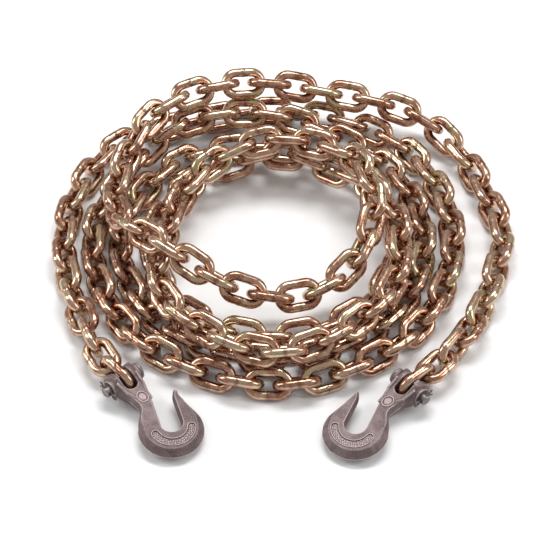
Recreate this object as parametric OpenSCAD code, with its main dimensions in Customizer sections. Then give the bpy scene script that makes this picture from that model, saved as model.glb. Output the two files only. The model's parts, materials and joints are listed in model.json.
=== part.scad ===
// Transport chain for a load binder: one long chain of round-wire links, laid in a loose coil,
// with a forged clevis grab hook on each end.
// The hooks lie towards -Y, Z is up, and the coil lies on the plane z = 0 with its middle at the origin.

/* [Chain] */
// Diameter of the round wire of a link
wire_d = 10; // [9:0.25:10.25]
// Inside length of a link, which is the pitch of the chain
pitch = 31; // [30.5:0.25:32]
// Inside width of a link
inside_w = 14; // [13.5:0.25:15]
// Play between two neighbouring links along the chain
play = 1.3; // [1.1:0.05:1.3]
// How far the weld bead stands proud of the wire
bead_h = 0.4; // [0.2:0.1:0.5]
// Width of the weld bead along the wire
bead_w = 2.6; // [1.5:0.1:4]
// Number of links in the whole chain
link_count = 200; // [190:1:200]
// Single links that move at the left end
left_free = 8; // [6:1:8]
// Single links that move at the right end
right_free = 12; // [8:1:12]
// Links in one group of the coil
group_size = 6; // [6:1:8]

/* [Coil] */
// Distance across two strands that lie side by side or on each other
strand_w = 27.6; // [27.2:0.2:28]
// Steepest climb of a strand over another, as a tangent
climb = 0.32; // [0.3:0.02:0.36]
// Most that a link rolls away from its even 45 degree lie
roll_sway = 2; // [0:1:4]

/* [Hook] */
// Thickness of the forged hook
hook_t = 16; // [15:0.5:17]
// Diameter of the clevis pin
pin_d = 11; // [10:0.25:11.25]
// Clearance between the pin and its bores, on the diameter
pin_fit = 0.12; // [0.1:0.02:0.2]
// Gap between the two ears of the clevis
ear_gap = 14; // [13:0.5:15]
// Thickness of one ear
ear_t = 9; // [8:0.5:10]
// Radius of an ear around the pin
ear_r = 13; // [12:0.5:13.5]
// Radius of the round seat behind the link
saddle_r = 18; // [17.6:0.1:18.5]
// Width of the slot that grabs a link
slot_w = 17.6; // [17:0.2:18]
// Outer radius of the bowl
bowl_r = 34; // [33.5:0.5:34.5]
// How much the hook dips from the pin to the floor, in degrees
hook_dip = 4.9; // [4.5:0.1:4.9]

/* [Pin] */
// Radius of the forged pin head
head_r = 9; // [8:0.5:10]
// Thickness of the pin head
head_t = 5; // [4:0.5:6]
// Wire diameter of the cotter
cotter_d = 3; // [2.5:0.1:3.2]

/* [Hidden] */
$fn = 48;
spacing = pitch - play;
crown_r = (inside_w + wire_d) / 2;
leg_half = (pitch - inside_w) / 2;
crown_x = leg_half + crown_r;
// Height of a link's middle when it lies on the floor, rolled by an angle and swayed a little
function bed_z(angle) = crown_r * sin(min(90, angle + roll_sway)) + wire_d / 2 + 0.1;

// Middle of the coil, and the share of its depth to its width
coil_mid = [0, -12];
coil_squash = 1;
// Control points of the left tail, from the hook to the coil
left_tail = [[-120, -245], [-151, -214], [-178, -181], [-203, -120], [-221, -60],
             [-226, -6], [-218, 46], [-194, 100]];
// Distance of the strand from the middle of the coil, once every 45 degrees, clockwise from back left
strand_r = [
              214, 191, 193, 187, 192, 201, 200,
         196, 183, 164, 160, 156, 162, 169, 170,
         167, 155, 134, 131, 127, 134, 138, 141,
         134, 121, 107, 102, 125, 156, 184, 161,
         111, 105, 99, 103, 101, 104, 106, 121,
         169, 189, 187
];
// Control points of the right tail, from the coil to the hook
right_tail = [[148, 153], [203, 106], [228, 40], [240, -9], [229, -59], [217, -98],
              [196, -143], [164, -188], [127, -223], [90, -250]];

rise = 45;
coil_points = [for (k = [0:len(strand_r) - 1]) let (a = 135 - rise * k)
    coil_mid + strand_r[k] * [cos(a), coil_squash * sin(a)]];
controls = concat(left_tail, coil_points, right_tail);
samples = 8;

// A smooth curve through four neighbouring control points
function between(a, b, c, d, t) = b + 0.5 * t * (c - a
    + t * (2 * a - 5 * b + 4 * c - d + t * (3 * (b - c) + d - a)));
plan = [for (k = [1:len(controls) - 3], s = [0:samples - 1])
    between(controls[k - 1], controls[k], controls[k + 1], controls[k + 2], s / samples)];
last = len(plan) - 1;
function step(k) = norm(plan[k] - plan[k - 1]);
run = [for (k = 0, s = 0; k <= last; k = k + 1, s = s + (k <= last ? step(k) : 0)) s];

// Height that a strand needs over another one whose middle is d away in plan
squareness = 5;
lift_spare = 2.5;
function lift(d) = (strand_w + lift_spare) * pow(1 - pow(d / strand_w, squareness), 1 / squareness);
// Earlier stretches that lie under each sample, with the height needed over them
under = [for (k = [0:last]) [for (j = [0:1:k - 6])
    if (abs(plan[k][0] - plan[j][0]) < strand_w && abs(plan[k][1] - plan[j][1]) < strand_w)
        let (d = norm(plan[k] - plan[j]))
            if (d < strand_w && run[k] - run[j] > 2 * strand_w) [j, lift(d)]]];
// Raise every sample to lie on what is under it, and its neighbours by the steepest climb, and bridge
// a dip that is sharper than the chain can bend
valley_r = 130;
function bridge(z, k) = k < 3 || k > last - 3 ? 0
    : (z[k - 3] + z[k + 3]) / 2 - pow(run[k + 3] - run[k - 3], 2) / (8 * valley_r);
function raise(z) = [for (k = [0:last]) max(
    z[k],
    bridge(z, k),
    k > 0 ? z[k - 1] - climb * step(k) : 0,
    k < last ? z[k + 1] - climb * step(k + 1) : 0,
    max([0, for (u = under[k]) z[u[0]] + u[1]]))];
function settle(z, rounds) = rounds == 0 ? z : settle(raise(z), rounds - 1);
// The last few links before a hook stand up, so the chain's middle lies a little higher there
turning = 5;
function near_end(k) = max(0, 1 - min(run[k], run[last] - run[k]) / ((turning + 1) * spacing));
heights = settle([for (k = [0:last]) bed_z(45 + 45 * near_end(k))], 40);
function eased(z) = [for (k = [0:last])
    (z[max(k - 1, 0)] + 2 * z[k] + z[min(k + 1, last)]) / 4];
eased_heights = eased(eased(raise(eased(eased(raise(eased(eased(heights))))))));
route = [for (k = [0:last]) [plan[k][0], plan[k][1], eased_heights[k]]];

// Walk along the route in steps of one link, a little shorter where the chain bends more,
// because the crowns of two neighbouring links need more room there
tighten = 0.0032;
function bend(k) = let (
        c = route[min(max(k, 2), last - 2)], a = c - route[max(k - 2, 0)], b = route[min(k + 2, last)] - c)
    acos(min(1, a * b / (norm(a) * norm(b))));
function link_step(k) = spacing - tighten * pow(min(bend(k), 30), 2);
function ahead(k, p, s) = k >= last || norm(route[k] - p) > s ? k : ahead(k + 1, p, s);
function reach(a, b, p, s) = let (
        v = b - a, w = a - p,
        q = v * w, r = v * v, c = w * w - s * s)
    a + v * ((-q + sqrt(max(q * q - r * c, 0))) / r);
function walk(state) = let (s = link_step(state[0]), k = ahead(state[0], state[1], s))
    [k, reach(route[k - 1], route[k], state[1], s)];
joints = [for (n = 0, s = [1, route[0]]; n <= link_count; n = n + 1, s = walk(s)) s[1]];

function turned(n) = max(0, 1 - min(n, link_count - 1 - n) / turning);
// Roll of link n about the chain: even links lean one way and odd ones the other, and the last few
// before a hook turn until the end link stands upright between the ears of the clevis
function lean(n) = n % 2 == 0 ? 45 : -45;
function roll(n) = lean(n) + lean(n < link_count / 2 ? 0 : link_count - 1) * turned(n)
    + roll_sway * sin(137.5 * n) * (1 - turned(n));
function unit(v) = v / norm(v);
// Frame of link n: along the chain, across the link in its plane, and out of its plane
function along(n) = unit(joints[n + 1] - joints[n]);
function centre(n) = (joints[n + 1] + joints[n]) / 2;
function across(n) = let (t = along(n), side = unit(cross([0, 0, 1], t)), up = cross(t, side))
    side * cos(roll(n)) + up * sin(roll(n));
function outward(n) = cross(along(n), across(n));

// Where the clevis pins pass through the end links, and which way the hooks point
pin_x = crown_x - (wire_d + pin_d + play) / 2;
left_pin_at = centre(0) - pin_x * along(0);
right_pin_at = centre(link_count - 1) + pin_x * along(link_count - 1);
left_way = -along(0);
right_way = along(link_count - 1);

// The outline of the hook's bar as pairs of points: back edge and throat edge
shank_pairs = [[[20, -12], [20, 12.6]], [[30, -11.6], [31, 9.4]], [[40, -12.6], [42, 4.5]],
               [[49.5, -22], [52, 0]], [[59, -28.8], [61, -4.2]]];
bowl_mid = [76.4, -2.5];
slot_mid = [72.8, 0.6];
bowl_pairs = [for (t = [0:0.1:1]) [
    bowl_mid + bowl_r * [cos(-114 + 190 * t), sin(-114 + 190 * t)],
    slot_mid + slot_w / 2 * [cos(-114 + 180 * t), sin(-114 + 180 * t)]]];
tip_pairs = [[[76, 31.7], [67.5, 12.9]], [[68, 31.4], [59.5, 16.6]], [[60, 30.9], [53, 19.8]],
             [[54, 31], [48.5, 22.6]], [[48.5, 32], [44.5, 26]], [[44.6, 33], [41.8, 29]], [[42.8, 32.8], [40.8, 30.6]]];
pairs = concat(shank_pairs, bowl_pairs, tip_pairs);
bevel = 0.42;
tip_thin = 0.5;
function bar_ring(k) = let (
        a = pairs[k][0], b = pairs[k][1], m = (a + b) / 2, w = norm(a - b) / 2, d = (a - b) / (2 * w),
        left = len(pairs) - 1 - k,
        h = hook_t / 2 * (left < 6 ? tip_thin + (1 - tip_thin) * sqrt(left / 6) : 1),
        half = [[w, 0.36 * h], [(1 - 0.3 * bevel) * w, 0.76 * h], [(1 - bevel) * w, h]],
        ring = concat([for (p = half) p],
            [for (i = [2:-1:0]) [-half[i][0], half[i][1]]],
            [for (p = half) [-p[0], -p[1]]],
            [for (i = [2:-1:0]) [half[i][0], -half[i][1]]]))
    [for (p = ring) [m[0] + d[0] * p[0], m[1] + d[1] * p[0], p[1]]];

// Skin over a row of rings that each hold the same number of points
module loft(rings) {
    n = len(rings[0]);
    last_ring = len(rings) - 1;
    polyhedron(
        points = [for (r = rings) each r],
        faces = concat(
            [[for (i = [n - 1:-1:0]) i]],
            [for (k = [0:last_ring - 1], i = [0:n - 1]) let (j = (i + 1) % n)
                [k * n + j, (k + 1) * n + j, (k + 1) * n + i, k * n + i]],
            [[for (i = [0:n - 1]) last_ring * n + i]]));
}

// A stretch of the raised rim on the bowl, and the round mark at the neck, on one face
mark_h = 0.8;
mark_r = 7;
mark_at = [31, 0];
panel_r = [17, 20];
module marks() {
    translate([mark_at[0], mark_at[1], hook_t / 2 - 1]) cylinder(r = mark_r, h = 1 + mark_h);
    translate([bowl_mid[0], bowl_mid[1], hook_t / 2 - 1])
        rotate([0, 0, -75]) rotate_extrude(angle = 110)
            translate([panel_r[0], 0]) square([panel_r[1] - panel_r[0], 1 + mark_h]);
}

// The forged hook, with the pin's axis along Y at the origin and the bowl along X
ear_span = ear_gap + 2 * ear_t;
boss_h = 1.5;
module hook() {
    difference() {
        union() {
            loft([for (k = [0:len(pairs) - 1]) bar_ring(k)]);
            intersection() {
                rotate([90, 0, 0]) union() {
                    cylinder(r = ear_r, h = ear_span, center = true);
                    linear_extrude(height = ear_span, center = true)
                        polygon([[0, -ear_r + 0.4], [30, -hook_t / 2], [30, hook_t / 2], [0, ear_r - 0.4]]);
                }
                linear_extrude(height = 3 * ear_r, center = true)
                    polygon([[-20, -ear_span / 2], [15, -ear_span / 2], [30, -12.5],
                             [30, 12.5], [15, ear_span / 2], [-20, ear_span / 2]]);
            }
            rotate([90, 0, 0]) cylinder(r = ear_r - 3, h = ear_span + 2 * boss_h, center = true);
            marks();
            mirror([0, 0, 1]) marks();
        }
        rotate([90, 0, 0]) cylinder(r = saddle_r, h = ear_gap, center = true);
        rotate([90, 0, 0]) cylinder(d = pin_d + pin_fit, h = 2 * ear_span, center = true);
    }
}

// The clevis pin: a flat forged head outside one ear, and a cross hole outside the other
head_gap = 0.3;
pin_in = ear_span / 2 + boss_h + head_gap;
cotter_at = ear_span / 2 + boss_h + head_gap + cotter_d / 2 + 0.7;
pin_out = cotter_at + cotter_d / 2 + 3;
module clevis_pin() {
    difference() {
        union() {
            translate([0, pin_in, 0]) rotate([90, 0, 0]) cylinder(d = pin_d, h = pin_in + pin_out - 1);
            translate([0, 1 - pin_out, 0]) rotate([90, 0, 0]) cylinder(d1 = pin_d, d2 = pin_d - 2, h = 1);
            translate([0, pin_in + head_t, 0]) rotate([90, 0, 0]) cylinder(r = head_r, h = head_t);
            translate([0, pin_in + head_t + 1, 0]) rotate([90, 0, 0])
                cylinder(r1 = head_r - 2, r2 = head_r, h = 1);
        }
        translate([0, -cotter_at, 0]) rotate([0, 90, 0]) cylinder(d = cotter_d + 0.4, h = 2 * pin_d, center = true);
    }
}

// The cotter: an eye on one side of the pin, two legs spread on the other
eye_r = 2.8;
eye_wire = 2;
leg_spread = 35;
module cotter() {
    translate([0, -cotter_at, 0]) {
        rotate([0, 90, 0]) cylinder(d = cotter_d, h = pin_d + 3, center = true);
        translate([pin_d / 2 + 1.5 + eye_r, 0, 0]) rotate([90, 0, 0])
            rotate_extrude() translate([eye_r, 0]) circle(d = eye_wire);
        for (s = [-1, 1]) translate([-pin_d / 2 - 1.2, 0, 0]) rotate([0, -90 + s * leg_spread, 0])
            cylinder(d = eye_wire, h = 5);
    }
}

// One link in its own frame: X along, Y across
module link() {
    for (s = [0, 180]) rotate([0, 0, s]) {
        translate([leg_half, 0, 0]) rotate([0, 0, -90]) rotate_extrude(angle = 180)
            translate([crown_r, 0]) circle(d = wire_d);
        translate([-leg_half, crown_r, 0]) rotate([0, 90, 0]) cylinder(d = wire_d, h = 2 * leg_half);
    }
    translate([-bead_w / 2, crown_r, 0]) rotate([0, 90, 0]) cylinder(d = wire_d + 2 * bead_h, h = bead_w);
}

// Furthest reach of the chain and of both hooks' bars along a way d
function link_reach(n, d) = centre(n) * d + leg_half * abs(along(n) * d)
    + crown_r * norm([along(n) * d, across(n) * d]) + wire_d / 2;
function turn_z(p, a) = [p[0] * cos(a) - p[1] * sin(a), p[0] * sin(a) + p[1] * cos(a), p[2]];
function turn_y(p, a) = [p[0] * cos(a) + p[2] * sin(a), p[1], p[2] * cos(a) - p[0] * sin(a)];
function hook_point(p, at, way, over) =
    at + turn_z(turn_y([p[0], over * p[1], over * p[2]], hook_dip), atan2(way[1], way[0]));
hook_points = [for (k = [0:len(pairs) - 1], p = bar_ring(k)) each [
    hook_point(p, left_pin_at, left_way, 1), hook_point(p, right_pin_at, right_way, -1)]];
function reach_along(d) = max(concat(
    [for (n = [0:link_count - 1]) link_reach(n, d)],
    [for (p = hook_points) p * d]));
// The middle of the part's underside, which is moved to the origin
middle = [
    (reach_along([1, 0, 0]) - reach_along([-1, 0, 0])) / 2,
    (reach_along([0, 1, 0]) - reach_along([0, -1, 0])) / 2,
    -reach_along([0, 0, -1])];

// Link n where it lies in the chain
module placed_link(n) {
    c = centre(n) - middle;
    t = along(n);
    w = across(n);
    o = outward(n);
    multmatrix([[t[0], w[0], o[0], c[0]], [t[1], w[1], o[1], c[1]], [t[2], w[2], o[2], c[2]], [0, 0, 0, 1]])
        link();
}

// Stand a hook's own frame at a pin, pointing along a way, dipped to the floor and perhaps turned over
module at_pin(p, way, over) {
    translate(p - middle) rotate([0, 0, atan2(way[1], way[0])]) rotate([0, hook_dip, 0]) rotate([over, 0, 0]) children();
}

coil_last = link_count - 1 - right_free;
group_count = ceil((coil_last - left_free + 1) / group_size);
function first_in(g) = left_free + g * group_size;
function last_in(g) = min(first_in(g) + group_size - 1, coil_last);
function left_name(n) = str("left_link_", n + 1);
function right_name(n) = str("right_link_", link_count - n);
function group_name(g) = str("coil_links_", first_in(g) + 1, "_to_", last_in(g) + 1);

forged = "#7d6a68";
steel = "#6d6a6c";
chromate = "#b48c6a";
module left_hook() { color(forged) at_pin(left_pin_at, left_way, 0) hook(); }
module left_clevis_pin() { color(steel) at_pin(left_pin_at, left_way, 0) clevis_pin(); }
module left_cotter() { color(steel) at_pin(left_pin_at, left_way, 0) cotter(); }
module right_hook() { color(forged) at_pin(right_pin_at, right_way, 180) hook(); }
module right_clevis_pin() { color(steel) at_pin(right_pin_at, right_way, 180) clevis_pin(); }
module right_cotter() { color(steel) at_pin(right_pin_at, right_way, 180) cotter(); }
module free_link(n) { color(chromate) placed_link(n); }
module coil_links(g) { color(chromate) for (n = [first_in(g):last_in(g)]) placed_link(n); }

left_hook();
left_clevis_pin();
left_cotter();
for (n = [0:left_free - 1]) free_link(n);
for (g = [0:group_count - 1]) coil_links(g);
for (n = [coil_last + 1:link_count - 1]) free_link(n);
right_hook();
right_clevis_pin();
right_cotter();
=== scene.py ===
import json
import math

import bpy
import numpy as np
from mathutils import Matrix, Vector


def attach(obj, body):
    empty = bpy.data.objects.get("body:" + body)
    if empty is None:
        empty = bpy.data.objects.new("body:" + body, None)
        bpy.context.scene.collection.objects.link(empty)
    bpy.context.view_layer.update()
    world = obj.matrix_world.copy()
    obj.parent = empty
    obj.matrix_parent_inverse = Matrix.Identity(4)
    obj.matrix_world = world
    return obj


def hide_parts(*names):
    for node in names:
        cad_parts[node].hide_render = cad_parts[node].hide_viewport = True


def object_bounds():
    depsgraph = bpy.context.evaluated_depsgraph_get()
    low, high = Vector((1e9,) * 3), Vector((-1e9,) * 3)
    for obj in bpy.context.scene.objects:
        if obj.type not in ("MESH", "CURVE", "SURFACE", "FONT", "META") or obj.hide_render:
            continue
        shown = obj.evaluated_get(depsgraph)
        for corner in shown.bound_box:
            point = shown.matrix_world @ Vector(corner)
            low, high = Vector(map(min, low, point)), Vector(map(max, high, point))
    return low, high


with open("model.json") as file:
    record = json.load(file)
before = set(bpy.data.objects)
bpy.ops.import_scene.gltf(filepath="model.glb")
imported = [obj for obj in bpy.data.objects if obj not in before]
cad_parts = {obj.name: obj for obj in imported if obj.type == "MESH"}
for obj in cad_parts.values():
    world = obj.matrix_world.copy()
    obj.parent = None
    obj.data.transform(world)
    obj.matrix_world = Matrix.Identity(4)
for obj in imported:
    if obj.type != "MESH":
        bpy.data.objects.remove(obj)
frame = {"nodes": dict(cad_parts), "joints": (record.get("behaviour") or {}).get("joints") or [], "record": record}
cad_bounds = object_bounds()
MM = 0.001
rng = np.random.default_rng(11)


# ---------------------------------------------------------------- small helpers

def linear(hex_colour):
    """A colour given as six hex digits, as the linear colour that a shader takes."""
    parts = [int(hex_colour[i:i + 2], 16) / 255 for i in (0, 2, 4)]
    return [((c + 0.055) / 1.055) ** 2.4 if c > 0.04045 else c / 12.92 for c in parts] + [1.0]


def make_mesh(name, points, faces, attributes=None):
    """A smooth-shaded mesh from arrays, with a float attribute for each given array."""
    mesh = bpy.data.meshes.new(name)
    mesh.from_pydata(np.asarray(points).tolist(), [], np.asarray(faces).tolist())
    mesh.shade_smooth()
    for key, values in (attributes or {}).items():
        layer = mesh.attributes.new(key, "FLOAT", "POINT")
        layer.data.foreach_set("value", np.asarray(values, np.float32))
    mesh.validate()
    return mesh


def add_object(name, mesh, material):
    """An object in the scene that wears one material."""
    mesh.materials.append(material)
    piece = bpy.data.objects.new(name, mesh)
    bpy.context.scene.collection.objects.link(piece)
    return piece


def grid_faces(rings, sides, closed_rings):
    """Quads between rings of points, each ring closed; the last ring joins the first if closed_rings."""
    rows = np.arange(rings if closed_rings else rings - 1)
    cols = np.arange(sides)
    a, j = np.meshgrid(rows, cols, indexing="ij")
    b, k = (a + 1) % rings, (j + 1) % sides
    quads = np.stack([a * sides + j, a * sides + k, b * sides + k, b * sides + j], -1)
    return quads.reshape(-1, 4)


# ---------------------------------------------------------------- materials

class Shader:
    """A short way to write a node material."""

    def __init__(self, name):
        self.material = bpy.data.materials.new(name)
        self.material.use_nodes = True
        self.tree = self.material.node_tree
        self.tree.nodes.clear()
        self.out = self.tree.nodes.new("ShaderNodeOutputMaterial")
        self.bsdf = self.tree.nodes.new("ShaderNodeBsdfPrincipled")
        self.join(self.bsdf.outputs[0], self.out.inputs["Surface"])
        self.place = self.tree.nodes.new("ShaderNodeTexCoord").outputs["Object"]

    def join(self, a, b):
        self.tree.links.new(a, b)

    def put(self, socket, value):
        if isinstance(value, bpy.types.NodeSocket):
            self.join(value, socket)
        else:
            socket.default_value = value

    def noise(self, scale, detail=3.0, rough=0.5, warp=0.0):
        node = self.tree.nodes.new("ShaderNodeTexNoise")
        self.put(node.inputs["Vector"], self.place)
        node.inputs["Scale"].default_value = scale
        node.inputs["Detail"].default_value = detail
        node.inputs["Roughness"].default_value = rough
        node.inputs["Distortion"].default_value = warp
        return node.outputs["Fac"]

    def cells(self, scale):
        node = self.tree.nodes.new("ShaderNodeTexVoronoi")
        self.put(node.inputs["Vector"], self.place)
        node.inputs["Scale"].default_value = scale
        return node.outputs["Distance"]

    def attribute(self, name):
        node = self.tree.nodes.new("ShaderNodeAttribute")
        node.attribute_name = name
        return node.outputs["Fac"]

    def math(self, kind, a, b=0.0):
        node = self.tree.nodes.new("ShaderNodeMath")
        node.operation = kind
        self.put(node.inputs[0], a)
        self.put(node.inputs[1], b)
        return node.outputs[0]

    def ramp(self, value, *stops):
        node = self.tree.nodes.new("ShaderNodeValToRGB")
        self.put(node.inputs[0], value)
        line = node.color_ramp.elements
        while len(line) < len(stops):
            line.new(0.5)
        for element, (at, colour) in zip(line, stops):
            element.position = at
            element.color = linear(colour)
        return node.outputs["Color"]

    def span(self, value, low, high, out_low=0.0, out_high=1.0):
        node = self.tree.nodes.new("ShaderNodeMapRange")
        self.put(node.inputs["Value"], value)
        for key, number in (("From Min", low), ("From Max", high), ("To Min", out_low), ("To Max", out_high)):
            node.inputs[key].default_value = number
        return node.outputs["Result"]

    def mix(self, share, a, b):
        node = self.tree.nodes.new("ShaderNodeMix")
        node.data_type = "RGBA"
        self.put(node.inputs[0], share)
        self.put(node.inputs[6], a)
        self.put(node.inputs[7], b)
        return node.outputs[2]

    def bump(self, height, distance, strength=1.0, under=None):
        node = self.tree.nodes.new("ShaderNodeBump")
        self.put(node.inputs["Height"], height)
        node.inputs["Distance"].default_value = distance
        node.inputs["Strength"].default_value = strength
        if under is not None:
            self.put(node.inputs["Normal"], under)
        return node.outputs["Normal"]

    def set(self, **values):
        for key, value in values.items():
            self.put(self.bsdf.inputs[key.replace("_", " ")], value)


def yellow_chromate():
    """Glossy yellow zinc chromate: copper pink to straw and olive, darker at the weld, bare at the crowns."""
    s = Shader("yellow_chromate")
    patches = s.noise(75, 2.5, 0.55, 0.4)
    mottle = s.noise(420, 3, 0.6)
    lean = s.math("ADD", s.math("MULTIPLY", patches, 0.8), s.math("MULTIPLY", s.attribute("tint"), 0.16))
    lean = s.math("ADD", lean, s.math("MULTIPLY", s.math("SUBTRACT", mottle, 0.5), 0.25))
    colour = s.ramp(lean, (0.3, "94664f"), (0.42, "bb917a"), (0.52, "c8a78f"), (0.62, "cab694"),
                    (0.72, "aca379"), (0.84, "87825a"))
    colour = s.mix(s.math("MULTIPLY", s.attribute("weld"), 0.6), colour, linear("64463a"))
    colour = s.mix(s.math("MULTIPLY", s.attribute("crown"), 0.35), colour, linear("d9cdb4"))
    fine = s.noise(1500, 2, 0.6)
    waves = s.noise(120, 2, 0.5)
    normal = s.bump(waves, 0.0004, 0.2)
    normal = s.bump(fine, 0.00006, 0.25, normal)
    s.set(Base_Color=colour, Metallic=1.0, Roughness=s.span(mottle, 0.3, 0.7, 0.16, 0.28), Normal=normal)
    s.set(Coat_Weight=0.3, Coat_Roughness=0.08)
    return s.material


def forged_steel():
    """Drop-forged hook: mauve brown scale, speckled, lighter on the ridges where a highlight is painted, darker in
    the hollows where shade is painted.
    """
    s = Shader("forged_steel")
    patches = s.noise(60, 3, 0.6, 0.5)
    speck = s.noise(900, 3, 0.7)
    colour = s.ramp(patches, (0.35, "584a4a"), (0.5, "6b5b5b"), (0.68, "7d6d6d"))
    colour = s.mix(s.span(speck, 0.52, 0.68, 0.0, 0.65), colour, linear("a8908c"))
    colour = s.mix(s.span(speck, 0.44, 0.3, 0.0, 0.6), colour, linear("45363a"))
    # Painted highlight: a pale colour laid on the convex ridges and creases
    colour = s.mix(s.math("MULTIPLY", s.attribute("painted_ridge_highlight"), 0.85), colour, linear("d8c6c4"))
    # Painted shade: a dark colour laid in the concave hollows and creases
    colour = s.mix(s.math("MULTIPLY", s.attribute("painted_hollow_shade"), 0.75), colour, linear("352b2d"))
    pits = s.cells(520)
    normal = s.bump(s.noise(260, 3, 0.6), 0.0009, 0.5)
    normal = s.bump(s.math("ADD", speck, s.math("MULTIPLY", pits, 0.5)), 0.00035, 0.6, normal)
    s.set(Base_Color=colour, Metallic=0.45, Roughness=s.span(speck, 0.3, 0.7, 0.42, 0.62), Normal=normal)
    return s.material


def pin_steel():
    """Plain dark steel with turning marks and a little scale, lighter on its ridges where a highlight is painted.
    """
    s = Shader("pin_steel")
    patches = s.noise(140, 3, 0.6)
    speck = s.noise(1100, 2, 0.6)
    colour = s.ramp(patches, (0.35, "57504f"), (0.55, "6e6665"), (0.7, "857b79"))
    # Painted highlight: a pale colour laid on the pin's convex edges
    colour = s.mix(s.math("MULTIPLY", s.attribute("painted_ridge_highlight"), 0.7), colour, linear("bdb2ae"))
    normal = s.bump(speck, 0.00025, 0.5)
    s.set(Base_Color=colour, Metallic=0.8, Roughness=s.span(speck, 0.3, 0.7, 0.32, 0.5), Normal=normal)
    return s.material


chromate = yellow_chromate()
forged = forged_steel()
dark_steel = pin_steel()


# ---------------------------------------------------------------- chain links

# A link lies along X with its weld in the middle of the leg at +Y.
WIRE_R = 5 * MM
CROWN_R = 12 * MM
LEG_HALF = 8.5 * MM
SIDES = 20
BEAD_H = 0.38 * MM
BEAD_HALF = 1.15 * MM
GROOVE_HALF = 0.34 * MM
HEAT_HALF = 2.2 * MM
LUMP = 0.03 * MM
WEAR = 0.12 * MM


def link_stations():
    """Distances along the link's centreline from the middle of the weld, closer together at the weld."""
    crown = math.pi * CROWN_R
    near = np.linspace(-HEAT_HALF, HEAT_HALF, 17)
    leg = np.linspace(HEAT_HALF, LEG_HALF, 5)[1:-1]
    bend = LEG_HALF + np.linspace(0, crown, 25)
    back = LEG_HALF + crown + np.linspace(0, 2 * LEG_HALF, 7)[1:-1]
    rest = LEG_HALF + crown + 2 * LEG_HALF + np.linspace(0, crown, 25)
    total = 4 * LEG_HALF + 2 * crown
    return np.concatenate([near, leg, bend, back, rest, total - leg[::-1]]), total


def link_line(s):
    """Centreline point and outward direction in the link's plane, X along and Y across."""
    crown = math.pi * CROWN_R
    points, outs = [], []
    for d in s:
        if d < LEG_HALF:
            p, n = (d, CROWN_R), (0, 1)
        elif d < LEG_HALF + crown:
            a = math.pi / 2 - (d - LEG_HALF) / CROWN_R
            n = (math.cos(a), math.sin(a))
            p = (LEG_HALF + CROWN_R * n[0], CROWN_R * n[1])
        elif d < 3 * LEG_HALF + crown:
            p, n = (LEG_HALF - (d - LEG_HALF - crown), -CROWN_R), (0, -1)
        elif d < 3 * LEG_HALF + 2 * crown:
            a = -math.pi / 2 - (d - 3 * LEG_HALF - crown) / CROWN_R
            n = (math.cos(a), math.sin(a))
            p = (-LEG_HALF + CROWN_R * n[0], CROWN_R * n[1])
        else:
            p, n = (d - 4 * LEG_HALF - 2 * crown, CROWN_R), (0, 1)
        points.append(p)
        outs.append(n)
    return np.array(points), np.array(outs)


STATIONS, LINK_ROUND = link_stations()
LINE, OUT = link_line(STATIONS)
TURN = np.arange(SIDES) * 2 * math.pi / SIDES
LINK_FACES = grid_faces(len(STATIONS), SIDES, True)
FROM_WELD = np.minimum(abs(STATIONS), abs(STATIONS - LINK_ROUND))
CROWN_NEAR = np.clip((abs(LINE[:, 0]) - LEG_HALF) / CROWN_R, 0, 1)


def link_points():
    """One link with its own small differences: weld ridges, a groove between them, and rolled lumps."""
    weld_lean = rng.uniform(0.75, 1.0)
    groove = rng.uniform(0.2, 0.34) * MM
    shift = rng.uniform(-0.15, 0.15) * MM
    phase = rng.uniform(0, 6.28, 4)
    d = np.where(STATIONS > LINK_ROUND / 2, STATIONS - LINK_ROUND, STATIONS) - shift
    collar = weld_lean * BEAD_H * np.exp(-(d / BEAD_HALF) ** 2) - groove * np.exp(-(d / GROOVE_HALF) ** 2)
    around = 0.8 + 0.2 * np.cos(TURN + phase[0])
    lumps = LUMP * (np.sin(STATIONS[:, None] / (4.1 * MM) + 2 * TURN + phase[1])
                    + np.sin(STATIONS[:, None] / (7.3 * MM) - TURN + phase[2]) - 2)
    worn = WEAR * CROWN_NEAR[:, None] ** 2 * np.clip(-np.cos(TURN), 0, 1) ** 2
    r = WIRE_R + np.outer(collar, around) + lumps - worn
    x = LINE[:, None, 0] + OUT[:, None, 0] * r * np.cos(TURN)
    y = LINE[:, None, 1] + OUT[:, None, 1] * r * np.cos(TURN)
    z = r * np.sin(TURN)
    return np.stack([x, y, z], -1).reshape(-1, 3)


WELD_SHADE = np.repeat(np.exp(-(FROM_WELD / HEAT_HALF) ** 2), SIDES)
CROWN_SHADE = (CROWN_NEAR[:, None] ** 3 * np.clip(-np.cos(TURN), 0, 1) ** 2).reshape(-1)


def islands(mesh):
    """The triangles of each separate solid in a CAD mesh."""
    mesh.calc_loop_triangles()
    co = np.array([v.co for v in mesh.vertices])
    tri = np.array([t.vertices[:] for t in mesh.loop_triangles])
    grid = np.round(co / (0.01 * MM)).astype(np.int64)
    merged = np.unique(grid, axis=0, return_inverse=True)[1].reshape(-1)
    corners = merged[tri]
    label = np.arange(merged.max() + 1)
    while True:
        low = label[corners].min(1)
        new = label.copy()
        np.minimum.at(new, corners.ravel(), np.repeat(low, 3))
        new = new[new]
        if (new == label).all():
            break
        label = new
    owner = label[corners[:, 0]]
    return [co[tri[owner == k]] for k in np.unique(owner)]


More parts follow.
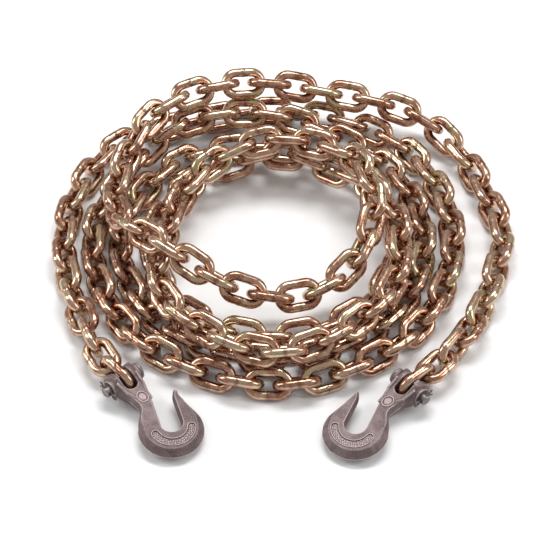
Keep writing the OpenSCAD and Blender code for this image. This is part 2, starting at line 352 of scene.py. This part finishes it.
def link_place(triangles):
    """Middle and axes of one CAD link: along, across towards the weld, and out of its plane."""
    middles = triangles.mean(1)
    edge_a, edge_b = triangles[:, 1] - triangles[:, 0], triangles[:, 2] - triangles[:, 0]
    sizes = np.linalg.norm(np.cross(edge_a, edge_b), axis=1)
    centre = (middles * sizes[:, None]).sum(0) / sizes.sum()
    rel = middles - centre
    spread = (rel * sizes[:, None]).T @ rel
    axes = np.linalg.eigh(spread)[1]
    along, across = axes[:, 2], axes[:, 1]
    points = triangles.reshape(-1, 3) - centre
    u, v = points @ along, points @ across
    if v.max() < -v.min():
        across, v = -across, -v
    outward = np.cross(along, across)
    w = points @ outward
    centre = centre + along * (u.max() + u.min()) / 2 + across * (v.min() + CROWN_R + WIRE_R)
    centre = centre + outward * (w.max() + w.min()) / 2
    return centre, along, across, outward


def make_links(node):
    """All the links of one CAD node, as one piece."""
    points, faces, tint, weld, crown = [], [], [], [], []
    count = 0
    for triangles in islands(frame["nodes"][node].data):
        centre, along, across, outward = link_place(triangles)
        local = link_points()
        points.append(centre + local @ np.array([along, across, outward]))
        faces.append(LINK_FACES + count)
        count += len(local)
        tint.append(np.full(len(local), rng.uniform(0, 1)))
        weld.append(WELD_SHADE)
        crown.append(CROWN_SHADE)
    shades = {"tint": np.concatenate(tint), "weld": np.concatenate(weld), "crown": np.concatenate(crown)}
    mesh = make_mesh(node + "_mesh", np.concatenate(points), np.concatenate(faces), shades)
    return add_object(node + "_plated", mesh, chromate)


# ---------------------------------------------------------------- forged shapes as distance fields

def soft_min(a, b, k):
    """Union of two distance fields, with a fillet of about k where they meet."""
    h = np.clip(0.5 + 0.5 * (b - a) / k, 0, 1)
    return b + (a - b) * h - k * h * (1 - h)


def soft_max(a, b, k):
    return -soft_min(-a, -b, k)


def capsule(x, y, z, a, b, r):
    """Distance to a round bar from a to b."""
    a, b = np.array(a, float), np.array(b, float)
    ab = b - a
    t = np.clip(((x - a[0]) * ab[0] + (y - a[1]) * ab[1] + (z - a[2]) * ab[2]) / (ab @ ab), 0, 1)
    off = (x - a[0] - t * ab[0], y - a[1] - t * ab[1], z - a[2] - t * ab[2])
    return np.sqrt(off[0] ** 2 + off[1] ** 2 + off[2] ** 2) - r


def surface_net(field, low, high, cell):
    """A closed quad mesh where field, in millimetres, is zero, with each point moved onto that surface."""
    axes = [np.arange(a, b + cell, cell) for a, b in zip(low, high)]
    shape = tuple(len(a) for a in axes)
    x, y, z = np.meshgrid(*axes, indexing="ij")
    value = field(x, y, z)
    inside = value < 0
    total = np.zeros(tuple(n - 1 for n in shape) + (3,))
    hits = np.zeros(tuple(n - 1 for n in shape))
    corners = [(i, j, k) for i in (0, 1) for j in (0, 1) for k in (0, 1)]

    def corner(array, c):
        return array[c[0]:shape[0] - 1 + c[0], c[1]:shape[1] - 1 + c[1], c[2]:shape[2] - 1 + c[2]]

    for c in corners:
        for axis in range(3):
            if c[axis]:
                continue
            d = tuple(1 if n == axis else c[n] for n in range(3))
            va, vb = corner(value, c), corner(value, d)
            cross = (va < 0) != (vb < 0)
            t = np.where(cross, va / np.where(cross, va - vb, 1), 0)
            for n in range(3):
                total[..., n] += np.where(cross, c[n] + (t if n == axis else 0), 0)
            hits += cross
    used = hits > 0
    index = np.full(hits.shape, -1)
    index[used] = np.arange(used.sum())
    cells = np.argwhere(used)
    points = np.array(low) + cell * (cells + total[used] / hits[used][:, None])
    quads = []
    for axis in range(3):
        b, c = (axis + 1) % 3, (axis + 2) % 3
        step = [0, 0, 0]
        step[axis] = 1
        here = inside[:shape[0] - step[0], :shape[1] - step[1], :shape[2] - step[2]]
        there = inside[step[0]:, step[1]:, step[2]:]
        for flip in (False, True):
            edge = np.argwhere((~here & there) if flip else (here & ~there))
            edge = edge[(edge[:, b] > 0) & (edge[:, c] > 0)]
            around = []
            for db, dc in ((0, 0), (1, 0), (1, 1), (0, 1)):
                p = edge.copy()
                p[:, b] -= db
                p[:, c] -= dc
                around.append(index[p[:, 0], p[:, 1], p[:, 2]])
            quad = np.stack(around, 1)
            quads.append(quad[:, ::-1] if flip else quad)
    quads = np.concatenate(quads)
    for _ in range(4):
        value, slope = field_slope(field, points, 0.3 * cell)
        move = value[:, None] * slope / np.maximum((slope ** 2).sum(1), 0.25)[:, None]
        points = points - np.clip(move, -0.4 * cell, 0.4 * cell)
    return points, quads


def field_slope(field, points, h):
    value = field(*points.T)
    slope = np.zeros_like(points)
    for n in range(3):
        step = np.zeros(3)
        step[n] = h
        slope[:, n] = (field(*(points + step).T) - field(*(points - step).T)) / (2 * h)
    return value, slope


def field_bend(field, points, h):
    """How convex the surface is: positive on ridges, negative in hollows, per millimetre."""
    total = -6 * field(*points.T)
    for n in range(3):
        step = np.zeros(3)
        step[n] = h
        total = total + field(*(points + step).T) + field(*(points - step).T)
    return total / h ** 2


# ---------------------------------------------------------------- hook

# In the hook's own frame, in millimetres: the clevis pin along Y at the origin, the bowl along X.
HOOK_HALF = 8
BOWL_MID = (76.4, -2)
BOWL_R = 32.8
SEAT_MID = (72.8, 1.2)
SEAT_R = 9.8
SHANK_BACK = [(14, -12), (21, -12), (30, -11.2), (40, -12), (49, -21), (54.8, -26.2)]
SHANK_FRONT = [(14, 12.6), (20, 12.6), (31, 8.9), (42, 4.1), (52, -0.4), (61, -4.4)]
TIP_BACK = [(76, 30.7), (68, 30.4), (60, 30), (54, 30.3), (48.5, 31.4), (44.8, 32.7), (42.8, 32.9)]
TIP_FRONT = [(67.7, 14.2), (58.5, 18.3), (50, 22.4), (45, 26.4), (42, 30), (41.6, 31.6)]


def arc(mid, r, start, end, count):
    a = np.radians(np.linspace(start, end, count))
    return [(mid[0] + r * math.cos(t), mid[1] + r * math.sin(t)) for t in a]


def smooth_line(points, parts=6):
    """A curve through all the points."""
    p = np.array(points, float)
    p = np.vstack([2 * p[0] - p[1], p, 2 * p[-1] - p[-2]])
    out = []
    for k in range(1, len(p) - 2):
        for t in np.arange(parts) / parts:
            before, here, after, last = p[k - 1:k + 3]
            out.append(here + 0.5 * t * (after - before + t * (2 * before - 5 * here + 4 * after - last
                       + t * (3 * (here - after) + last - before))))
    return np.array(out + [p[-2]])


BACK = smooth_line(SHANK_BACK + arc(BOWL_MID, BOWL_R, -120, 76, 11) + TIP_BACK)
FRONT = smooth_line(SHANK_FRONT + arc(SEAT_MID, SEAT_R, -114, 66, 9) + TIP_FRONT)


def edge_distance(line, x, y):
    """Distance in plan to a line, and whether a ray along +X from each place crosses it an odd number
    of times."""
    best = np.full(x.shape, 1e9)
    odd = np.zeros(x.shape, bool)
    for a, b in zip(line[:-1], line[1:]):
        ab = b - a
        size = max(ab @ ab, 1e-9)
        t = np.clip(((x - a[0]) * ab[0] + (y - a[1]) * ab[1]) / size, 0, 1)
        best = np.minimum(best, (x - a[0] - t * ab[0]) ** 2 + (y - a[1] - t * ab[1]) ** 2)
        if a[1] != b[1]:
            spans = (a[1] > y) != (b[1] > y)
            odd ^= spans & (x < a[0] + (y - a[1]) * ab[0] / ab[1])
    return np.sqrt(best), odd


# Tables over the plan: signed distance to the outline, and depth in from its back and front edges
PLAN_LOW = (-24.0, -44.0)
PLAN_CELL = 0.5
plan_x, plan_y = np.meshgrid(np.arange(PLAN_LOW[0], 118, PLAN_CELL), np.arange(PLAN_LOW[1], 48, PLAN_CELL),
                             indexing="ij")
back_away, back_odd = edge_distance(BACK, plan_x, plan_y)
front_away, front_odd = edge_distance(FRONT, plan_x, plan_y)
ends_away, ends_odd = edge_distance(np.array([FRONT[0], BACK[0]]), plan_x, plan_y)
tip_away, tip_odd = edge_distance(np.array([FRONT[-1], BACK[-1]]), plan_x, plan_y)
inside = back_odd ^ front_odd ^ ends_odd ^ tip_odd
nearest = np.minimum(np.minimum(back_away, front_away), np.minimum(ends_away, tip_away))
PLAN = np.where(inside, -nearest, nearest)
BACK_DEPTH = np.where(inside, back_away, -nearest)
FRONT_DEPTH = np.where(inside, front_away, -nearest)


def look_up(table, x, y):
    """The value of a plan table at each place, blended between its cells."""
    u = np.clip((x - PLAN_LOW[0]) / PLAN_CELL, 0, table.shape[0] - 1.001)
    v = np.clip((y - PLAN_LOW[1]) / PLAN_CELL, 0, table.shape[1] - 1.001)
    i, j = u.astype(int), v.astype(int)
    fu, fv = u - i, v - j
    return ((table[i, j] * (1 - fu) + table[i + 1, j] * fu) * (1 - fv)
            + (table[i, j + 1] * (1 - fu) + table[i + 1, j + 1] * fu) * fv)


def ease(t):
    """A smooth step from 0 to 1."""
    t = np.clip(t, 0, 1)
    return t * t * (3 - 2 * t)


def bevel(rise, half, depth, width):
    """Distance to a sloping edge that climbs to the full half thickness over a width."""
    return (rise / half - depth / width - SIDE_SHARE) / np.sqrt(1 / half ** 2 + 1 / width ** 2)


# The bar's edge: the share of its height that stands upright, and how far in the slope reaches its top
SIDE_SHARE = 0.1
INNER_SLOPE = 2.2
BOWL_SLOPE = 4.6
TIP_SLOPE = 3.4

# The fork: ears round the pin, the gap that the link sits in, and the bosses round the bores
EAR_R = 12.8
EAR_OUT = 16
EAR_IN = 7
EAR_RISE = 4.2
FORK_END = 25
SADDLE_R = 18
BORE_R = 5.58
BOSS_R = 9.6
BOSS_OUT = 17.4

# Ridges on the fork's faces, as half of each pair, and the marks that stand on the hook's flat faces
RIB = [(37, 5.4, 6.9), (28, 6.6, 7.1), (19, 10.2, 7.8), (6, 11.8, 10.6)]
RIB_R = 1.5
OVAL_MID = (31.5, -1.3)
OVAL_HALF = (6.6, 5.2)
PANEL_R = 18.4
PANEL_SPREAD = 1.8
PANEL_HALF = 4.1
PANEL_FROM, PANEL_TO = -98, 50
RIM_HALF = 0.45
RIM_RISE = 0.75
FLASH_HALF = 0.5
FLASH_OUT = 0.18


def panel_distance(x, y):
    """Distance in plan to the middle line of the curved panel on the bowl."""
    dx, dy = x - BOWL_MID[0], y - BOWL_MID[1]
    a = np.degrees(np.arctan2(dy, dx))
    edge = np.clip(a, PANEL_FROM, PANEL_TO)
    off = np.radians(edge)
    r = PANEL_R + PANEL_SPREAD * (edge - PANEL_FROM) / (PANEL_TO - PANEL_FROM)
    past_end = np.hypot(dx - r * np.cos(off), dy - r * np.sin(off))
    return np.where(a == edge, abs(np.hypot(dx, dy) - r), past_end)


def clevis(x, y, z):
    """Distance field of the fork: two round ears on flat-topped arms that meet at the neck."""
    rise, side = abs(z), abs(y)
    ear = np.hypot(x, z) - EAR_R
    slope = HOOK_HALF + EAR_RISE * np.clip((19 - x) / 19, 0, 1) ** 1.4 - 0.1 * np.maximum(x - 14, 0) ** 1.4
    arm = np.maximum(rise - slope, np.maximum(-x, x - FORK_END))
    round_end = soft_min(ear, arm, 1.5)
    wide = EAR_OUT - 8 * np.clip((x - 9) / 17, 0, 1) ** 1.2
    corner = (rise + side - wide - slope + EAR_RISE) / 1.414
    fork = soft_max(round_end, side - wide, 2.2)
    fork = soft_max(fork, corner, 1.5)
    boss = soft_max(np.hypot(x, z) - BOSS_R, side - BOSS_OUT, 1.2)
    return fork, boss


def forged_hook(x, y, z):
    """Distance field of the whole forging."""
    rise = abs(z)
    plan = look_up(PLAN, x, y)
    near_tip = ease((64 - x) / 22) * ease((y - 14) / 6)
    half = HOOK_HALF * (1 - 0.22 * near_tip)
    near_back = ease((90 - x) / 26) * ease((y - 10) / 12)
    outer_slope = INNER_SLOPE + BOWL_SLOPE * ease((x - 46) / 20) - TIP_SLOPE * near_back
    outer_slope = np.maximum(outer_slope, INNER_SLOPE)
    bar = soft_max(plan, bevel(rise, half, look_up(BACK_DEPTH, x, y), outer_slope), 1.2)
    bar = soft_max(bar, bevel(rise, half, look_up(FRONT_DEPTH, x, y), INNER_SLOPE), 1.2)
    bar = soft_max(bar, rise - half, 0.7)
    bar = soft_max(bar, 16 - x, 2)
    fork, boss = clevis(x, y, z)
    body = soft_min(bar, fork, 3.0)
    body = soft_min(body, boss, 1.0)
    # Ridges that run from the neck's flat face out to the ears
    side = abs(y)
    rib = capsule(x, side, rise, RIB[0], RIB[1], RIB_R)
    for a, b in zip(RIB[1:-1], RIB[2:]):
        rib = soft_min(rib, capsule(x, side, rise, a, b, RIB_R), 0.6)
    body = soft_min(body, rib, 1.0)
    throat = np.hypot(np.maximum(x - SADDLE_R + EAR_IN, 0), y) - EAR_IN
    body = soft_max(body, -throat, 1.4)
    body = soft_max(body, BORE_R - np.hypot(x, z), 0.5)
    # Oval mark at the neck and the curved panel on the bowl, on both faces
    oval = np.hypot((x - OVAL_MID[0]) / OVAL_HALF[0], (y - OVAL_MID[1]) / OVAL_HALF[1])
    oval = (oval - 1) * OVAL_HALF[1]
    body = soft_min(body, np.maximum(abs(oval) - RIM_HALF, abs(rise - HOOK_HALF) - 0.7), 0.3)
    body = soft_min(body, np.maximum(oval + 1.8, abs(rise - HOOK_HALF) - 0.35), 0.4)
    panel = panel_distance(x, y)
    rim = np.maximum(abs(panel - PANEL_HALF) - RIM_HALF, abs(rise - HOOK_HALF) - RIM_RISE)
    body = soft_min(body, rim, 0.3)
    dent = np.maximum(panel - PANEL_HALF + 0.8, HOOK_HALF - 0.5 - rise)
    body = soft_max(body, -dent, 0.4)
    nubs = 0.25 * np.sin(x * 1.9 + 1.3 * np.sin(y * 1.3)) * np.sin(y * 2.1 + 1.1 * np.sin(x * 1.5))
    body = body - nubs * (panel < PANEL_HALF - 1.2) * (rise > HOOK_HALF - 1)
    # Trimmed flash of the die's parting line
    flash = np.maximum(rise - FLASH_HALF, plan - FLASH_OUT)
    body = soft_min(body, np.maximum(flash, 24 - x), 0.5)
    swell = 0.07 * (np.sin(0.43 * x + 1.1) * np.sin(0.51 * y + 0.4) * np.sin(0.6 * z + 2.0)
                    + np.sin(0.9 * x - 0.7 * y) * np.sin(0.8 * z + 0.5) * 0.6)
    return body + swell + 0.05


PIN_R = 5.45
PIN_END = -24.4
HEAD_R = 8.9
HEAD_AT = 20.3
HEAD_HALF = 2.5
COTTER_AT = -20
HOLE_R = 1.75


def forged_pin(x, y, z):
    """Distance field of the clevis pin: a low domed head at +Y, a cross hole near the other end."""
    r = np.hypot(x, z)
    shaft = soft_max(r - PIN_R, np.maximum(y - 20, PIN_END - y), 0.4)
    shaft = soft_max(shaft, (r - 4.6 + (PIN_END - y) * 0.9) / 1.35, 0.4)
    dome = np.sqrt(x ** 2 + (y - 4.8) ** 2 + z ** 2) - 17.9
    head = soft_max(soft_max(r - HEAD_R, abs(y - HEAD_AT) - HEAD_HALF, 1.2), dome, 1.2)
    body = soft_min(shaft, head, 0.6)
    hole = np.hypot(y - COTTER_AT, z) - HOLE_R
    return soft_max(body, -hole, 0.3) + 0.03 * np.sin(1.3 * y + 0.8 * x) * np.sin(1.1 * z + 0.6)


def cotter_line():
    """The bent wire of the cotter: a leg, through the hole, round the eye, back and out."""
    up = [(-11.2, 3.4), (-9.6, 2.7), (-8, 1.7), (-6.6, 0.95), (-5, 0.8), (0, 0.8), (5, 0.8), (6.6, 0.9)]
    eye = arc((9.8, 0), 2.75, 158, -158, 19)
    down = [(x, -z) for x, z in reversed(up)]
    return smooth_line(up + eye + down, 3)


def sweep(line, r, sides):
    """A round wire along points in space, with domed ends."""
    line = np.asarray(line, float)
    tangent = np.gradient(line, axis=0)
    tangent /= np.linalg.norm(tangent, axis=1)[:, None]
    side = np.cross(tangent, [0, 1, 0])
    side /= np.linalg.norm(side, axis=1)[:, None]
    other = np.cross(tangent, side)
    turn = np.arange(sides) * 2 * math.pi / sides
    caps = ((-0.9, 0.35), (-0.55, 0.8), (0, 1))
    rings = [(line[0] + tangent[0] * r * a, 0, b) for a, b in caps[:-1]]
    rings += [(p, k, 1) for k, p in enumerate(line)]
    rings += [(line[-1] - tangent[-1] * r * a, -1, b) for a, b in caps[-2::-1]]
    points = [p + r * b * (np.cos(turn)[:, None] * side[k] + np.sin(turn)[:, None] * other[k])
              for p, k, b in rings]
    faces = grid_faces(len(rings), sides, False).tolist()
    faces.append(list(range(sides))[::-1])
    faces.append([(len(rings) - 1) * sides + j for j in range(sides)])
    return np.concatenate(points), faces


# Masks for painted light: a painted highlight on convex ridges, painted shade in concave hollows
def ridge_highlight_and_hollow_shade(field, points, size):
    bend = field_bend(field, points, size)
    return np.clip((bend - 0.35) / 0.9, 0, 1), np.clip((-bend - 0.35) / 1.2, 0, 1)


def shape_mesh(name, field, low, high, cell, bend_size):
    points, quads = surface_net(field, low, high, cell)
    # Stores the painted highlight and painted shade masks on the mesh
    painted_ridge_highlight, painted_hollow_shade = ridge_highlight_and_hollow_shade(field, points, bend_size)
    return make_mesh(name, points * MM, quads, {"painted_ridge_highlight": painted_ridge_highlight, "painted_hollow_shade": painted_hollow_shade})


def end_place(side):
    """Where a hook's own frame lies: the pin's joint gives its middle and Y, the slot's mount gives Z."""
    pin = next(j for j in frame["joints"] if j["name"] == side + "_pin_turn")
    slot = next(m for m in frame["record"]["mounts"] if m["name"] == side + "_hook_slot")
    y = Vector(pin["axis"]).normalized()
    z = Vector(slot["axis"]).normalized()
    x = y.cross(z).normalized()
    matrix = Matrix((x, y, z)).transposed().to_4x4()
    matrix.translation = Vector(pin["pos_m"])
    return matrix


def make_ends():
    hook_cell = 0.5
    hook = shape_mesh("forged_hook_mesh", forged_hook, (-15, -37, -15), (110, 39, 15), hook_cell, 0.7)
    pin = shape_mesh("clevis_pin_mesh", forged_pin, (-10, -26, -10), (10, 24, 10), 0.5, 0.5)
    line = [(x, COTTER_AT, z) for x, z in cotter_line()]
    points, faces = sweep(line, 0.85, 12)
    cotter = bpy.data.meshes.new("cotter_mesh")
    cotter.from_pydata((np.asarray(points) * MM).tolist(), [], faces)
    cotter.shade_smooth()
    for side in ("left", "right"):
        place = end_place(side)
        for node, mesh, material, slot, body in (
                (side + "_hook", hook, forged, "forged_hook", side + "_hook"),
                (side + "_clevis_pin", pin, dark_steel, "pin_steel", side + "_clevis_pin"),
                (side + "_cotter", cotter, dark_steel, "pin_steel", side + "_clevis_pin")):
            piece = add_object(node + "_detail", mesh.copy(), material)
            piece.matrix_world = place
            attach(piece, body)
            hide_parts(node)


def make_chain():
    for body, nodes in frame["record"]["behaviour"]["bodies"].items():
        for node in nodes:
            if "_link" not in node:
                continue
            piece = make_links(node)
            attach(piece, body)
            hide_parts(node)


# ---------------------------------------------------------------- studio

CAMERA_TILT = math.radians(48.5)
CAMERA_AWAY = 2.4
FLOOR_HALF = 6.0


def make_camera():
    """A long lens that looks down along +Y, aimed a little left of the middle, on the floor."""
    low, high = (Vector(corner) for corner in cad_bounds)
    middle = (low + high) / 2
    target = Vector((middle.x - 0.009, middle.y + 0.003, low.z))
    look = Vector((0, math.cos(CAMERA_TILT), -math.sin(CAMERA_TILT)))
    camera = bpy.data.objects.new("camera", bpy.data.cameras.new("camera"))
    camera.data.lens = 148.9
    camera.data.sensor_width = 36
    camera.data.clip_end = 50
    camera.location = target - look * CAMERA_AWAY
    camera.rotation_euler = look.to_track_quat("-Z", "Y").to_euler()
    bpy.context.scene.collection.objects.link(camera)
    bpy.context.scene.camera = camera


def make_floor():
    s = Shader("studio_floor")
    grain = s.noise(30, 3)
    s.set(Base_Color=s.ramp(grain, (0.3, "f4f4f4"), (0.7, "f8f8f8")), Roughness=0.9)
    half = FLOOR_HALF
    low = cad_bounds[0][2]
    corners = [(-half, -half, low), (half, -half, low), (half, half, low), (-half, half, low)]
    mesh = bpy.data.meshes.new("studio_floor")
    mesh.from_pydata(corners, [], [(0, 1, 2, 3)])
    add_object("studio_floor", mesh, s.material)


def add_softbox(name, place, size, power):
    """A rectangular light that faces the middle of the floor."""
    light = bpy.data.lights.new(name, "AREA")
    light.shape = "RECTANGLE"
    light.size, light.size_y = size
    light.energy = power
    lamp = bpy.data.objects.new(name, light)
    lamp.location = place
    lamp.rotation_euler = (-Vector(place)).to_track_quat("-Z", "Y").to_euler()
    bpy.context.scene.collection.objects.link(lamp)


def make_studio():
    make_floor()
    add_softbox("overhead_softbox", (0.1, 0.7, 1.8), (1.3, 0.6), 26)
    add_softbox("left_softbox", (-1.6, 0.2, 1.1), (0.35, 1.2), 12)
    add_softbox("right_softbox", (1.6, -0.2, 1.2), (0.35, 1.2), 10)
    world = bpy.data.worlds.new("studio")
    world.use_nodes = True
    back = world.node_tree.nodes["Background"]
    back.inputs["Color"].default_value = (1, 1, 1, 1)
    back.inputs["Strength"].default_value = 0.46
    bpy.context.scene.world = world
    bpy.context.scene.view_settings.view_transform = "Standard"


make_camera()
make_chain()
make_ends()
make_studio()
